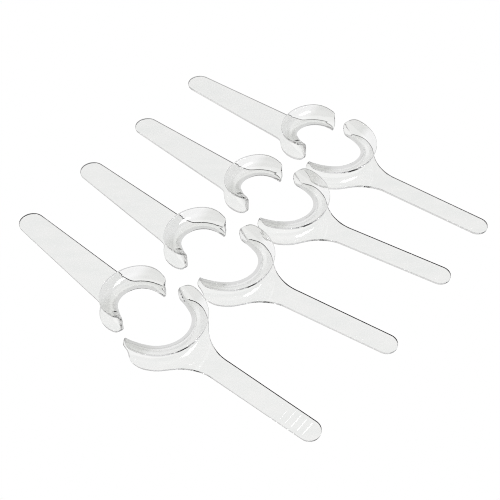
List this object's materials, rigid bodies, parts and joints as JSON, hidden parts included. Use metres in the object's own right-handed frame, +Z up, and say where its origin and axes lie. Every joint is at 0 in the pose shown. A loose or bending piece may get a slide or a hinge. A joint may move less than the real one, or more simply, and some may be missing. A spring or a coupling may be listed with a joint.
{
  "type": "cheek retractor set",
  "caption": "Clear hand-held cheek retractors in a large and a small pattern: a flat handle ends in a C-shaped mouth with a U-section lip gutter.",
  "frame": {"origin": "middle of the set's footprint, on the table plane", "axes": "+X to the right across the layout, +Y away from the viewer, +Z up off the table"},
  "size_m": [0.385, 0.3922, 0.0207],
  "materials": {
    "clear_plastic": "polished, transparent"
  },
  "bodies": {
    "large_retractor_1": {"large_retractor_1": "clear_plastic"},
    "large_retractor_2": {"large_retractor_2": "clear_plastic"},
    "large_retractor_3": {"large_retractor_3": "clear_plastic"},
    "large_retractor_4": {"large_retractor_4": "clear_plastic"},
    "small_retractor_1": {"small_retractor_1": "clear_plastic"},
    "small_retractor_2": {"small_retractor_2": "clear_plastic"},
    "small_retractor_3": {"small_retractor_3": "clear_plastic"},
    "small_retractor_4": {"small_retractor_4": "clear_plastic"}
  },
  "joints": [
    {"name": "large_retractor_2_lift", "type": "slide", "parent": "large_retractor_1", "child": "large_retractor_2", "axis": [0, 0, 1], "range_m": [0, 0.1]},
    {"name": "large_retractor_3_lift", "type": "slide", "parent": "large_retractor_1", "child": "large_retractor_3", "axis": [0, 0, 1], "range_m": [0, 0.1]},
    {"name": "large_retractor_4_lift", "type": "slide", "parent": "large_retractor_1", "child": "large_retractor_4", "axis": [0, 0, 1], "range_m": [0, 0.1]},
    {"name": "small_retractor_1_lift", "type": "slide", "parent": "large_retractor_1", "child": "small_retractor_1", "axis": [0, 0, 1], "range_m": [0, 0.1]},
    {"name": "small_retractor_2_lift", "type": "slide", "parent": "large_retractor_1", "child": "small_retractor_2", "axis": [0, 0, 1], "range_m": [0, 0.1]},
    {"name": "small_retractor_3_lift", "type": "slide", "parent": "large_retractor_1", "child": "small_retractor_3", "axis": [0, 0, 1], "range_m": [0, 0.1]},
    {"name": "small_retractor_4_lift", "type": "slide", "parent": "large_retractor_1", "child": "small_retractor_4", "axis": [0, 0, 1], "range_m": [0, 0.1]}
  ]
}
